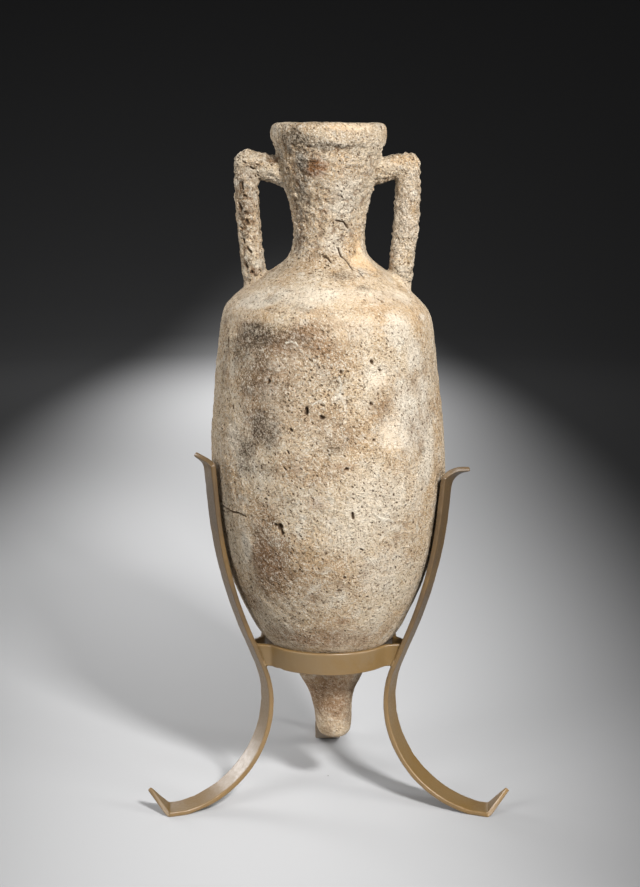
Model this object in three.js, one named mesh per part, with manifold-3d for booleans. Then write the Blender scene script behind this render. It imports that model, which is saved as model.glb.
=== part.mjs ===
import * as THREE from 'three';
import { mergeVertices } from 'three/addons/utils/BufferGeometryUtils.js';
import Module from 'manifold-3d';

// Roman wine amphora held in a three-legged stand of bent flat bar.
// Millimetres, +Z up, the front of the vessel towards -Y, the feet on z = 0.

// Amphora: outer radii, and heights above the tip of its spike
const AMPHORA_HEIGHT = 903;
const SPIKE_R = 28;
const SPIKE_HEIGHT = 92;
const SPIKE_DRIFT = 9;
const SPIKE_DRIFT_RUN = 55;
const BELLY_R = 169.5;
const SHOULDER_R = 147;
const SHOULDER_Z = 638;
const SHOULDER_LEAN = 6.5;
const SHOULDER_LEAN_RUN = 210;
const NECK_R = 51;
const NECK_Z = 750;
const FUNNEL_R = 74;
const COLLAR_R = 81.5;
const COLLAR_HEIGHT = 36;

// Amphora: the hollow inside it
const WALL = 12;
const MOUTH_R = 58;
const FLOOR_Z = 128;

// Handles: reach and heights of the centre line of each, and how far an arm is sunk in the wall of the neck
const HANDLE_THICK = 34;
const HANDLE_DEPTH = 38;
const ROOT_SHARE = 0.8;
const LEFT_HANDLE = { side: -1, elbowR: 116, elbowZ: 849, rootZ: 834, footR: 102, armThick: 34 };
const RIGHT_HANDLE = { side: 1, elbowR: 111.5, elbowZ: 845.5, rootZ: 832, footR: 98, armThick: 31.5 };

// Stand: flat bar sizes
const LEG_WIDTH = 40;
const LEG_THICK = 7;
const RING_HEIGHT = 32;
const RING_THICK = 7;
const RING_INNER_R = 93.5;
const RING_TOP_Z = 244;

// Stand: bends of each leg from the toe up
const FOOT_FLAT = 24;
const TOE_RISE = 11;
const TOE_R = 30;
const TOE_RUN = 4;
const SWEEP_R = 154;
const WAIST_R = 140;
const LEG_SPLAY = 22;
const SPLAY_RUN = 55;
const CRADLE_R = 660;
const TOP_SPLAY = 5;

// Stand: the corner turned out at the end of a bar. The end is cut on a slope, so that its far corner
// runs on by the mitre, and it folds about a line at the inset from the near corner, slanted across.
const TOE_LIP = { inset: 3, slant: 11, mitre: 33, bendR: 10, angle: 48 };
const LEGS = [
  { name: 'leg_front_left', turn: -69.5, far: -1, topRun: 67,
    curl: { inset: 6, slant: 6, mitre: 17, bendR: 20, angle: 45 } },
  { name: 'leg_front_right', turn: 69.5, far: 1, topRun: 49,
    curl: { inset: 9, slant: 14, mitre: 25, bendR: 28, angle: 75 } },
  { name: 'leg_back', turn: 180, far: 1, topRun: 62,
    curl: { inset: 8, slant: 10, mitre: 18, bendR: 24, angle: 60 } },
];

// Stand: the ends of the ring bars, bent out to land on the inner faces of the legs
const TAB_SIDE_GAP = 2;
const TAB_TURN = 30;
const TAB_REACH = 40;

const FIT_GAP = 0.3;
const LATHE_SEGMENTS = 42;
const HANDLE_SIDES = 12;
const LIMB_STEPS = 7;
const DOME_STEPS = 3;
const RING_STEPS = 14;
const LEG_COLUMNS = 4;
const LIP_ROWS = 4;
const BEND_STEP = 8;

const wasm = await Module();
wasm.setup();

const clayMaterial = new THREE.MeshStandardMaterial({ color: 0xc9b190, roughness: 0.95, metalness: 0 });
const barMaterial = new THREE.MeshStandardMaterial({ color: 0x86704f, roughness: 0.6, metalness: 0.1 });

const radians = THREE.MathUtils.degToRad;

function toSolid(geometry) {
  const bare = geometry.clone();
  bare.deleteAttribute('normal');
  bare.deleteAttribute('uv');
  const merged = mergeVertices(bare, 1e-4);
  return new wasm.Manifold(new wasm.Mesh({
    numProp: 3,
    vertProperties: new Float32Array(merged.attributes.position.array),
    triVerts: new Uint32Array(merged.index.array),
  }));
}

function toGeometry(solid) {
  const mesh = solid.getMesh();
  const geometry = new THREE.BufferGeometry();
  geometry.setAttribute('position', new THREE.BufferAttribute(mesh.vertProperties, 3));
  geometry.setIndex(new THREE.BufferAttribute(mesh.triVerts, 1));
  return geometry;
}

// Closed skin over a row of rings that hold the same number of points, with flat ends
function loft(rings) {
  const sides = rings[0].length;
  const corners = rings.flat().flatMap((point) => [point.x, point.y, point.z]);
  const index = [];
  for (let i = 0; i + 1 < rings.length; i += 1) {
    for (let k = 0; k < sides; k += 1) {
      const a = i * sides + k;
      const b = i * sides + (k + 1) % sides;
      index.push(a, b, b + sides, a, b + sides, a + sides);
    }
  }
  const last = (rings.length - 1) * sides;
  for (let k = 1; k + 1 < sides; k += 1) {
    index.push(0, k + 1, k);
    index.push(last, last + k, last + k + 1);
  }
  const geometry = new THREE.BufferGeometry();
  geometry.setAttribute('position', new THREE.Float32BufferAttribute(corners, 3));
  geometry.setIndex(index);
  return geometry;
}

// Half outline of the vessel from the tip of the spike to the top of the rim
function outerProfile() {
  const spike = [[0, 0], [0.46, 0.01], [0.77, 0.07], [0.93, 0.16], [0.99, 0.3], [1.02, 0.46],
    [1.12, 0.66], [1.28, 0.83], [1.57, 1]];
  const belly = [[0.33, 0.045], [0.413, 0.08], [0.499, 0.106], [0.575, 0.128], [0.676, 0.179],
    [0.779, 0.246], [0.893, 0.347], [0.966, 0.456], [0.999, 0.567], [0.989, 0.676], [0.958, 0.785],
    [0.92, 0.888]];
  const shoulder = [[1, 0], [0.95, 0.07], [0.855, 0.17], [0.74, 0.26], [0.5, 0.42],
    [0.3, 0.54], [0.15, 0.63], [0.05, 0.73], [0, 0.87]];
  const funnel = [[0.01, 0.13], [0.09, 0.25], [0.22, 0.37], [0.4, 0.47], [0.6, 0.6], [0.83, 0.8], [1, 1]];
  const collar = [[0.3, 0.18], [0.85, 0.34], [1, 0.55], [0.97, 0.78], [0.55, 0.96]];

  const bellySpan = SHOULDER_Z - SPIKE_HEIGHT;
  const shoulderSpan = NECK_Z - SHOULDER_Z;
  const collarZ = AMPHORA_HEIGHT - COLLAR_HEIGHT;
  const lip = COLLAR_R - FUNNEL_R;
  return [
    ...spike.map(([r, z]) => [r * SPIKE_R, z * SPIKE_HEIGHT]),
    ...belly.map(([r, z]) => [r * BELLY_R, SPIKE_HEIGHT + z * bellySpan]),
    ...shoulder.map(([r, z]) => [NECK_R + r * (SHOULDER_R - NECK_R), SHOULDER_Z + z * shoulderSpan]),
    ...funnel.map(([r, z]) => [NECK_R + r * (FUNNEL_R - NECK_R), NECK_Z + z * (collarZ - NECK_Z)]),
    ...collar.map(([r, z]) => [FUNNEL_R + r * lip, collarZ + z * COLLAR_HEIGHT]),
    [FUNNEL_R, AMPHORA_HEIGHT],
    [MOUTH_R, AMPHORA_HEIGHT],
    [0, AMPHORA_HEIGHT],
  ];
}

// Hollow: the outer outline moved in by the wall, closed above the mouth
function cavityProfile(outer) {
  const inner = [[0, FLOOR_Z]];
  const neckTop = AMPHORA_HEIGHT - COLLAR_HEIGHT;
  for (let i = 1; i + 1 < outer.length; i += 1) {
    const run = outer[i + 1][0] - outer[i - 1][0];
    const rise = outer[i + 1][1] - outer[i - 1][1];
    const length = Math.hypot(run, rise);
    const r = outer[i][0] - WALL * rise / length;
    const z = outer[i][1] + WALL * run / length;
    if (z > FLOOR_Z + WALL / 2 && outer[i][1] < neckTop) inner.push([r, z]);
  }
  inner.push([MOUTH_R, neckTop + COLLAR_HEIGHT / 2]);
  inner.push([MOUTH_R, AMPHORA_HEIGHT + WALL]);
  inner.push([0, AMPHORA_HEIGHT + WALL]);
  return inner;
}

function radiusAt(profile, z) {
  for (let i = 0; i + 1 < profile.length; i += 1) {
    const [r0, z0] = profile[i];
    const [r1, z1] = profile[i + 1];
    if (z >= z0 && z <= z1 && z1 > z0) return r0 + (r1 - r0) * (z - z0) / (z1 - z0);
  }
  return 0;
}

// First height at which the widening belly reaches a radius
function heightAt(profile, r) {
  for (let i = 0; i + 1 < profile.length; i += 1) {
    const [r0, z0] = profile[i];
    const [r1, z1] = profile[i + 1];
    if (r >= r0 && r <= r1 && r1 > r0) return z0 + (z1 - z0) * (r - r0) / (r1 - r0);
  }
  return 0;
}

function turned(profile) {
  const points = profile.map(([r, z]) => new THREE.Vector2(r, z));
  return new THREE.LatheGeometry(points, LATHE_SEGMENTS).rotateX(Math.PI / 2);
}

// The vessel is a little crooked: the spike drifts to the right and the shoulder leans to the left
function crooked(geometry) {
  const position = geometry.attributes.position;
  const spikeTop = SPIKE_HEIGHT + SPIKE_DRIFT_RUN;
  const shoulderSpan = NECK_Z - SHOULDER_Z;
  for (let i = 0; i < position.count; i += 1) {
    const z = position.getZ(i);
    const drift = SPIKE_DRIFT * Math.max(0, 1 - z / spikeTop);
    const lean = SHOULDER_LEAN
      * THREE.MathUtils.smoothstep(z, SHOULDER_Z - SHOULDER_LEAN_RUN, SHOULDER_Z)
      * (1 - THREE.MathUtils.smoothstep(z, SHOULDER_Z + shoulderSpan / 5, NECK_Z - shoulderSpan / 3));
    position.setX(i, position.getX(i) + drift - lean);
  }
  return geometry;
}

// Oval limb along a line of [reach, height] points on one side, its last end rounded off
function limb(side, points, thick) {
  const route = new THREE.CatmullRomCurve3(
    points.map(([r, z]) => new THREE.Vector3(side * r, 0, z)), false, 'centripetal');
  const dome = thick / 2;
  const length = route.getLength();
  const stops = Array.from({ length: LIMB_STEPS }, (_, i) => (length - dome) * i / (LIMB_STEPS - 1));
  const domeTurns = Array.from({ length: DOME_STEPS }, (_, i) => (i + 1) / (DOME_STEPS + 0.5) * Math.PI / 2);
  const rings = [
    ...stops.map((s) => [s, 1]),
    ...domeTurns.map((turn) => [length - dome + dome * Math.sin(turn), Math.cos(turn)]),
  ].map(([s, size]) => {
    const centre = route.getPointAt(s / length);
    const tangent = route.getTangentAt(s / length);
    const across = new THREE.Vector3(tangent.z, 0, -tangent.x);
    return Array.from({ length: HANDLE_SIDES }, (_, k) => {
      const turn = 2 * Math.PI * (k + 0.5) / HANDLE_SIDES;
      return centre.clone()
        .addScaledVector(across, size * Math.cos(turn) * thick / 2)
        .add(new THREE.Vector3(0, size * Math.sin(turn) * HANDLE_DEPTH / 2, 0));
    });
  });
  return toSolid(loft(rings));
}

// Handle: an arm out from the neck and an upright from the shoulder meet in a hard elbow
function handle(profile, { side, elbowR, elbowZ, rootZ, footR, armThick }) {
  const rootR = radiusAt(profile, rootZ) - WALL * ROOT_SHARE;
  const footZ = SHOULDER_Z + WALL;
  const rise = elbowZ - footZ;
  const half = HANDLE_THICK / 2;
  const arm = limb(side, [
    [rootR, rootZ],
    [(rootR + elbowR) / 2, (rootZ + elbowZ) / 2],
    [elbowR, elbowZ],
    [elbowR + half, elbowZ],
  ], armThick);
  const upright = limb(side, [
    [footR, footZ],
    [footR + (elbowR - footR) * 0.3, footZ + rise * 0.22],
    [footR + (elbowR - footR) * 0.78, footZ + rise * 0.53],
    [elbowR, footZ + rise * 0.75],
    [elbowR, elbowZ],
    [elbowR, elbowZ + half],
  ], HANDLE_THICK);
  return arm.add(upright);
}

function amphora(profile) {
  const body = toSolid(crooked(turned(profile)));
  const left = handle(profile, LEFT_HANDLE);
  const right = handle(profile, RIGHT_HANDLE);
  const hollow = toSolid(crooked(turned(cavityProfile(profile))));
  return toGeometry(body.add(left).add(right).subtract(hollow));
}

// Centre line of a leg in its own upright plane, as tangent straights and arcs from the toe up.
// Each station holds the distance along the bar, the reach out from the waist, the height and the heading.
function legStations(topRun) {
  const stations = [];
  let s = 0;
  let reach = 0;
  let z = LEG_THICK / 2;
  let heading = Math.PI;
  const mark = () => stations.push({ s, reach, z, heading });
  const straight = (length) => {
    s += length;
    reach += length * Math.cos(heading);
    z += length * Math.sin(heading);
    mark();
  };
  const arc = (radius, turn) => {
    const steps = Math.ceil(Math.abs(turn) / radians(BEND_STEP));
    const step = turn / steps;
    const chord = 2 * radius * Math.sin(Math.abs(step) / 2);
    for (let i = 0; i < steps; i += 1) {
      reach += chord * Math.cos(heading + step / 2);
      z += chord * Math.sin(heading + step / 2);
      s += radius * Math.abs(step);
      heading += step;
      mark();
    }
  };
  mark();
  straight(FOOT_FLAT);
  arc(TOE_R, -radians(TOE_RISE));
  straight(TOE_RUN);
  arc(SWEEP_R, -radians(90 - TOE_RISE));
  const waist = reach;
  arc(WAIST_R, -radians(LEG_SPLAY));
  straight(SPLAY_RUN);
  arc(CRADLE_R, radians(LEG_SPLAY - TOP_SPLAY));
  straight(topRun);
  return stations.map((station) => ({ ...station, reach: station.reach - waist }));
}

// Point of the bent bar: s along it, e across it towards the near side, n out of its outer face
function barPoint(stations, s, e, n) {
  let i = 0;
  while (i + 2 < stations.length && s > stations[i + 1].s) i += 1;
  const a = stations[i];
  const b = stations[i + 1];
  const share = (s - a.s) / (b.s - a.s);
  const heading = a.heading + (b.heading - a.heading) * THREE.MathUtils.clamp(share, 0, 1);
  const along = new THREE.Vector3(Math.cos(heading), 0, Math.sin(heading));
  const out = new THREE.Vector3(Math.sin(heading), 0, -Math.cos(heading));
  const at = new THREE.Vector3(a.reach + (b.reach - a.reach) * share, e, a.z + (b.z - a.z) * share);
  return { at: at.addScaledVector(out, n), along, out };
}

// The same point, where the end of the bar in that direction is folded out about its slanted line
function foldedPoint(stations, s, e, n, end, { inset, slant, bendR, angle }) {
  const tip = end > 0 ? stations[stations.length - 1].s : 0;
  const skew = slant / LEG_WIDTH;
  const norm = Math.hypot(1, skew);
  const past = (end * (s - tip) + inset + slant * (0.5 - e / LEG_WIDTH)) / norm;
  if (past <= 0) return barPoint(stations, s, e, n).at;
  const foldS = s - past * end / norm;
  const foldE = e + past * skew / norm;
  const { at, along, out } = barPoint(stations, foldS, foldE, 0);
  const across = along.clone().multiplyScalar(end / norm).add(new THREE.Vector3(0, -skew / norm, 0));
  const bend = Math.min(past / bendR, radians(angle));
  const rest = past - bendR * bend;
  return at
    .addScaledVector(across, (bendR - n) * Math.sin(bend) + rest * Math.cos(bend))
    .addScaledVector(out, bendR - (bendR - n) * Math.cos(bend) + rest * Math.sin(bend));
}

// Flat bar along the stations, with its outer and inner faces at the two offsets
function legBar({ far, topRun, curl }) {
  const stations = legStations(topRun);
  const top = stations[stations.length - 1].s;
  const columns = Array.from({ length: LEG_COLUMNS + 1 }, (_, k) => (0.5 - k / LEG_COLUMNS) * LEG_WIDTH);
  const nearShare = (e) => 0.5 - e / LEG_WIDTH;
  const foldLine = (lip, e) => lip.inset + lip.slant * nearShare(e);
  const rows = [];
  for (let i = 0; i <= LIP_ROWS; i += 1) {
    const share = i / LIP_ROWS;
    rows.push((e) => (1 - share) * -TOE_LIP.mitre * nearShare(e) + share * foldLine(TOE_LIP, e));
  }
  const clearLow = TOE_LIP.inset + TOE_LIP.slant;
  const clearHigh = top - curl.inset - curl.slant;
  stations
    .filter(({ s }) => s > clearLow + 1 && s < clearHigh - 1)
    .forEach(({ s }) => rows.push(() => s));
  for (let i = 0; i <= LIP_ROWS; i += 1) {
    const share = i / LIP_ROWS;
    rows.push((e) => top - (1 - share) * foldLine(curl, e) + share * curl.mitre * nearShare(e));
  }
  const middle = top / 2;
  const place = (s, e, n) => {
    const point = s < middle
      ? foldedPoint(stations, s, e, n, -1, TOE_LIP)
      : foldedPoint(stations, s, e, n, 1, curl);
    point.y *= -far;
    return point;
  };
  const rings = rows.map((row) => {
    const outer = columns.map((e) => place(row(e), e, LEG_THICK / 2));
    const inner = columns.map((e) => place(row(e), e, -LEG_THICK / 2)).reverse();
    const ring = [...outer, ...inner];
    return far > 0 ? ring : ring.reverse();
  });
  return loft(rings);
}

// Room taken by a leg and all that lies outside it, with the fit gap in front of its inner face
function legRoom() {
  const stations = legStations(0);
  const inner = -LEG_THICK / 2 - FIT_GAP;
  const outer = TAB_REACH * 2;
  const rings = stations
    .filter(({ z }) => z > RING_TOP_Z - RING_HEIGHT * 2)
    .map(({ s }) => [
      barPoint(stations, s, LEG_WIDTH, inner).at,
      barPoint(stations, s, -LEG_WIDTH, inner).at,
      barPoint(stations, s, -LEG_WIDTH, outer).at,
      barPoint(stations, s, LEG_WIDTH, outer).at,
    ]);
  return loft(rings);
}

// Distance of a leg's waist from the axis at which its inner face just clears the vessel
function waistDistance(profile, tipZ) {
  const stations = legStations(0);
  const top = stations[stations.length - 1].s;
  const sampleStep = 2;
  let distance = 0;
  for (let s = 0; s <= top; s += sampleStep) {
    const { at } = barPoint(stations, s, 0, -LEG_THICK / 2);
    distance = Math.max(distance, radiusAt(profile, at.z - tipZ) + FIT_GAP - at.x);
  }
  return distance;
}

// Upright band that follows a plan line, with mitred corners
function band(line, thickness, lowZ, highZ) {
  const rings = line.map((point, i) => {
    const before = line[Math.max(i - 1, 0)];
    const after = line[Math.min(i + 1, line.length - 1)];
    const inward = point.clone().sub(i ? before : point).normalize();
    const onward = after.clone().sub(i + 1 < line.length ? point : after).normalize();
    const along = inward.clone().add(onward).normalize();
    const bend = inward.lengthSq() && onward.lengthSq() ? inward.angleTo(onward) / 2 : 0;
    const side = new THREE.Vector2(along.y, -along.x).multiplyScalar(thickness / 2 / Math.cos(bend));
    const corner = (sign, z) => new THREE.Vector3(point.x + sign * side.x, point.y + sign * side.y, z);
    return [corner(1, lowZ), corner(-1, lowZ), corner(-1, highZ), corner(1, highZ)];
  });
  return loft(rings);
}

// Bar of the ring between two legs, given as turns in radians, with its ends cut to the legs' inner faces
function ringBar(from, to, waist, room) {
  const middleR = RING_INNER_R + RING_THICK / 2;
  const clear = Math.asin((LEG_WIDTH / 2 + TAB_SIDE_GAP) / middleR);
  const start = from + clear;
  const sweep = to - clear - start;
  const step = sweep / RING_STEPS;
  const cornerR = middleR / Math.cos(step / 2);
  const line = [];
  for (let i = 0; i <= RING_STEPS; i += 1) {
    const turn = start + step * i;
    line.push(new THREE.Vector2(Math.cos(turn), Math.sin(turn)).multiplyScalar(cornerR));
  }
  const tab = (corner, turn) => new THREE.Vector2(Math.cos(turn), Math.sin(turn))
    .multiplyScalar(TAB_REACH).add(corner);
  line.unshift(tab(line[0], from - radians(TAB_TURN)));
  line.push(tab(line[line.length - 1], to + radians(TAB_TURN)));
  const cut = (turn) => toSolid(room.clone().translate(waist, 0, 0).rotateZ(turn));
  const bar = toSolid(band(line, RING_THICK, RING_TOP_Z - RING_HEIGHT, RING_TOP_Z));
  return toGeometry(bar.subtract(cut(from)).subtract(cut(to)));
}

function named(name, geometry, material) {
  const mesh = new THREE.Mesh(geometry, material);
  mesh.name = name;
  return mesh;
}

const profile = outerProfile();
const tipZ = RING_TOP_Z - heightAt(profile, RING_INNER_R - FIT_GAP);
const waist = waistDistance(profile, tipZ);
const work = new THREE.Group();

const vessel = named('amphora', amphora(profile), clayMaterial);
vessel.position.z = tipZ;
work.add(vessel);

// A turn of 0 faces the front, towards -Y, and grows to the right
const legTurn = ({ turn }) => radians(turn - 90);
LEGS.forEach((leg) => {
  const bar = named(leg.name, legBar(leg).translate(waist, 0, 0), barMaterial);
  bar.rotation.z = legTurn(leg);
  work.add(bar);
});

const [left, right, back] = LEGS.map(legTurn);
const room = legRoom();
const fullTurn = 2 * Math.PI;
work.add(named('ring_bar_front', ringBar(left, right, waist, room), barMaterial));
work.add(named('ring_bar_right', ringBar(right, back, waist, room), barMaterial));
work.add(named('ring_bar_left', ringBar(back - fullTurn, left, waist, room), barMaterial));

// The origin sits on the floor, under the middle of the whole footprint
const footprint = new THREE.Box3().setFromObject(work, true);
work.position.x = -(footprint.min.x + footprint.max.x) / 2;
work.position.y = -(footprint.min.y + footprint.max.y) / 2;

const group = new THREE.Group();
group.add(work);

export default group;
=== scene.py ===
import math

import bmesh
import bpy
import numpy as np
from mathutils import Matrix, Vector
from mathutils.bvhtree import BVHTree
from mathutils.kdtree import KDTree
from numpy.linalg import norm


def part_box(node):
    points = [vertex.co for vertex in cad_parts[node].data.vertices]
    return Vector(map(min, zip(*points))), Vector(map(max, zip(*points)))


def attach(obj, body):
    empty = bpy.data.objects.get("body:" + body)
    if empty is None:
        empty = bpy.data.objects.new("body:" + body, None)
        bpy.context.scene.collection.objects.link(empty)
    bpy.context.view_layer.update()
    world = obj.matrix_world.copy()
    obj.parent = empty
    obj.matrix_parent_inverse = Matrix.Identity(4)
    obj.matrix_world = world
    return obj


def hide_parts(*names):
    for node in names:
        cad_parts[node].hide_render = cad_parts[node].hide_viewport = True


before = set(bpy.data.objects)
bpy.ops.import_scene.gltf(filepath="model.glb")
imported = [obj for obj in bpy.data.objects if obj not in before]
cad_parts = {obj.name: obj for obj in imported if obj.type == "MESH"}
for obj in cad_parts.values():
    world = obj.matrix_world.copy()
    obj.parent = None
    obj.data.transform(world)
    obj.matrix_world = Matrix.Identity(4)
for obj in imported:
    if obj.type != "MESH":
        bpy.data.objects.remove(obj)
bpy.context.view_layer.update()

# Lengths below are millimetres unless a name ends in _M, and meshes are made in metres
MM = 0.001

# Where the vessel stands: its axis and the tip of its spike, taken from the frame
vessel_low, vessel_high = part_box("amphora")
AXIS_X = (vessel_low.x + vessel_high.x) / 2 / MM
AXIS_Y = (vessel_low.y + vessel_high.y) / 2 / MM
TIP_Z = vessel_low.z / MM
HEIGHT = (vessel_high.z - vessel_low.z) / MM

# Camera: the photograph's frame and viewing angle
PHOTO_WIDTH = 640
PHOTO_HEIGHT = 887
FOCAL_PIXELS = 1680
SENSOR_MM = 36
EYE_DISTANCE = 2400
EYE_HEIGHT = 979
EYE_SIDE = -12.5
TILT_DOWN = 10.57

# Vessel: half outline as radius and height above the tip of the spike
OUTLINE = [
    (0, 0), (14, 0.8), (22, 6), (26, 15), (27.7, 28), (28.6, 42), (31.4, 60), (36, 76), (44, 93),
    (56, 117), (70, 136), (84.6, 150), (97.5, 162), (114.6, 190), (132, 226), (151.4, 281), (163.7, 341),
    (169.2, 402), (167.6, 461), (162.4, 521), (157, 577), (152, 618), (147, 638), (142, 647), (133, 657),
    (122, 667), (99, 685), (79.8, 698.5), (65.4, 708.6), (55.8, 720), (51, 736), (51.2, 765), (53.1, 779),
    (56.1, 793), (60.2, 805), (64.8, 820), (70.1, 843), (74, 864), (77, 871), (80.4, 877), (81.8, 887),
    (81, 896), (77, 901.5), (72, 903),
]
WALL = 12
FLOOR_Z = 128
FLOOR_R = 4
MOUTH_R = 58
MOUTH_DEPTH = 18
FUNNEL_DEPTH = 40
LIP_DROP = 3
LIP_SPREAD = 2
SPIKE_DRIFT = 9
SPIKE_DRIFT_TOP = 147
OUTLINE_STEP = 4
LATHE_COLUMNS = 160
SHOULDER_Z = 660
NECK_Z = 715

# Vessel: how far each stage of throwing left the body off the axis, and between which heights
LEAN = 3
LEAN_STAGES = [(430, 560), (630, 650)]

# Vessel: centre lines of each handle's arm and upright as reach from the axis and height
HANDLE_THICK = 34
HANDLE_DEPTH = 38
HANDLES = [
    {"side": -1, "arm_thick": 34, "arm": [(60, 834), (90, 842), (116, 849), (129.6, 850.7)],
     "upright": [(102, 650), (106, 692), (113, 755.5), (116, 799), (116, 849), (116, 866)]},
    {"side": 1, "arm_thick": 31.5, "arm": [(60, 833.5), (88, 840.5), (111.5, 845.5), (124.5, 847)],
     "upright": [(98, 650), (102, 692), (108.5, 751), (111.5, 794), (111.5, 845), (111.5, 862)]},
]
HANDLE_SIDES = 28
HANDLE_ROWS = 60
ARM_FLARE = 0.1
FLARE_RUN = (12, 55)
LIMB_TIP = 0.05

# Vessel: fine mesh
VOXEL = 2.2
FACE_LIMIT = 192000
RELAX_ROUNDS = 5
FINE_REACHES = [9, 6]

# Noise: length of a table of random numbers, and factors that make a cell's place a key of it
KEY_COUNT = 4096
KEY_FACTORS = (73856093, 19349663, 83492791)
CELL_SHIFT = 1000
FADE = 0.55

# Curves: points between two given ones, and the pairs of knots that each round blends between
CURVE_POINTS = 12
KNOT_PAIRS = [[(0, 1), (1, 2), (2, 3)], [(0, 2), (1, 3)], [(1, 2)]]


def smooth_step(value, low, high):
    """0 below low, 1 above high and a soft rise between."""
    share = np.clip((value - low) / (high - low), 0, 1)
    return share * share * (3 - 2 * share)


def cell_key(cells):
    """Key of each cell of space."""
    across, deep, up = (cells[:, k] * factor for k, factor in enumerate(KEY_FACTORS))
    return (across ^ deep ^ up) & (KEY_COUNT - 1)


def random_table(seed, channel):
    """Random numbers from 0 to 1, one for each key of a cell."""
    return np.random.default_rng(seed * 31 + channel).random(KEY_COUNT)


def noise(points, size, seed):
    """Smooth value noise from -1 to 1 with lumps of about the given size."""
    scaled = points / size + CELL_SHIFT
    cell = np.floor(scaled).astype(np.int64)
    part = scaled - cell
    part = part * part * (3 - 2 * part)
    table = random_table(seed, 0)
    total = np.zeros(len(points))
    for corner in range(8):
        offset = np.array([corner & 1, corner >> 1 & 1, corner >> 2 & 1])
        weight = np.prod(np.where(offset, part, 1 - part), axis=1)
        total += weight * table[cell_key(cell + offset)]
    return total * 2 - 1


def rough(points, size, seed, octaves=3):
    """Several sizes of noise added up, each half as large as the last."""
    total = np.zeros(len(points))
    reach = 0
    for octave in range(octaves):
        strength = FADE ** octave
        total += strength * noise(points, size / 2 ** octave, seed + octave)
        reach += strength
    return total / reach


def billows(points, size, seed):
    """Rounded lumps with sharp creases between them, from 0 in a crease to about 1."""
    total = np.zeros(len(points))
    reach = 0
    for octave in range(2):
        strength = FADE ** octave
        total += strength * np.abs(noise(points, size / 1.9 ** octave, seed + octave))
        reach += strength
    return np.minimum(1, 2.2 * total / reach)


def hollows(points, spacing, smallest, largest, share, seed):
    """Depth of round hollows scattered through space, one at most in each cell of the spacing."""
    tables = [random_table(seed, channel) for channel in range(5)]
    scaled = points / spacing + CELL_SHIFT
    cell = np.floor(scaled).astype(np.int64)
    depth = np.zeros(len(points))
    for step in range(27):
        near = cell + np.array([step % 3 - 1, step // 3 % 3 - 1, step // 9 - 1])
        key = cell_key(near)
        centre = near + np.stack([table[key] for table in tables[:3]], axis=1)
        radius = smallest + (largest - smallest) * tables[3][key] ** 2
        radius = np.where(tables[4][key] < share, radius, 1e-6)
        distance = norm(scaled - centre, axis=1) * spacing
        depth = np.maximum(depth, radius * (1 - smooth_step(distance, 0, radius)))
    return depth


def running(steps):
    """Sums of the steps so far, from 0."""
    return np.concatenate([[0], np.cumsum(steps)])


def lengths(line):
    """Distance along a line to each of its points."""
    return running(norm(np.diff(line, axis=0), axis=1))


def points_at(line, length, stops):
    """Points at the stops along a line, where the length says how far each of its points is."""
    return np.stack([np.interp(stops, length, column) for column in line.T], axis=-1)


def lookup_of(points):
    """Tree that finds the nearest of the points."""
    lookup = KDTree(len(points))
    for i, point in enumerate(points):
        lookup.insert(point, i)
    lookup.balance()
    return lookup


def mesh_object(name, vertices, faces):
    """New smooth object from points in millimetres."""
    mesh = bpy.data.meshes.new(name)
    mesh.from_pydata([tuple(v) for v in np.asarray(vertices) * MM], [], [tuple(f) for f in faces])
    mesh.validate()
    mesh.polygons.foreach_set("use_smooth", [True] * len(mesh.polygons))
    obj = bpy.data.objects.new(name, mesh)
    bpy.context.scene.collection.objects.link(obj)
    return obj


def grid_faces(rows, columns, closed_rows=False):
    """Quads between rings of points, and the first and last ring filled."""
    faces = []
    for i in range(rows if closed_rows else rows - 1):
        low = i * columns
        high = (i + 1) % rows * columns
        for k in range(columns):
            after = (k + 1) % columns
            faces.append((low + k, low + after, high + after, high + k))
    if not closed_rows:
        last = (rows - 1) * columns
        faces.append(tuple(reversed(range(columns))))
        faces.append(tuple(range(last, last + columns)))
    return faces


def spline(points, step):
    """Points at even steps along a soft curve through the given ones."""
    points = np.array(points, float)
    padded = np.vstack([2 * points[0] - points[1], points, 2 * points[-1] - points[-2]])
    curve = []
    for i in range(1, len(padded) - 2):
        near = padded[i - 1:i + 3]
        knots = running(np.sqrt(norm(np.diff(near, axis=0), axis=1)))
        for t in np.linspace(knots[1], knots[2], CURVE_POINTS, endpoint=False):
            layer = near
            for pairs in KNOT_PAIRS:
                shares = [(t - knots[low]) / (knots[high] - knots[low]) for low, high in pairs]
                layer = [(1 - share) * a + share * b for share, a, b in zip(shares, layer, layer[1:])]
            curve.append(layer[0])
    curve.append(points[-1])
    curve = np.array(curve)
    length = lengths(curve)
    stops = np.linspace(0, length[-1], max(2, round(length[-1] / step) + 1))
    return points_at(curve, length, stops)


# Camera
camera_data = bpy.data.cameras.new("camera")
camera_data.sensor_width = SENSOR_MM
camera_data.lens = SENSOR_MM * FOCAL_PIXELS / PHOTO_HEIGHT
camera_data.clip_end = 100
camera = bpy.data.objects.new("camera", camera_data)
camera.location = Vector((EYE_SIDE, AXIS_Y - EYE_DISTANCE, EYE_HEIGHT)) * MM
camera.rotation_euler = (math.radians(90 - TILT_DOWN), 0, 0)
bpy.context.scene.collection.objects.link(camera)
bpy.context.scene.camera = camera
bpy.context.view_layer.update()


def sight_line(pixel):
    """Start and direction in metres of the camera's ray through a pixel of the photograph."""
    across = (pixel[0] - PHOTO_WIDTH / 2) / FOCAL_PIXELS
    up = (PHOTO_HEIGHT / 2 - pixel[1]) / FOCAL_PIXELS
    direction = camera.rotation_euler.to_matrix() @ Vector((across, up, -1))
    return camera.location.copy(), direction.normalized()


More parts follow.
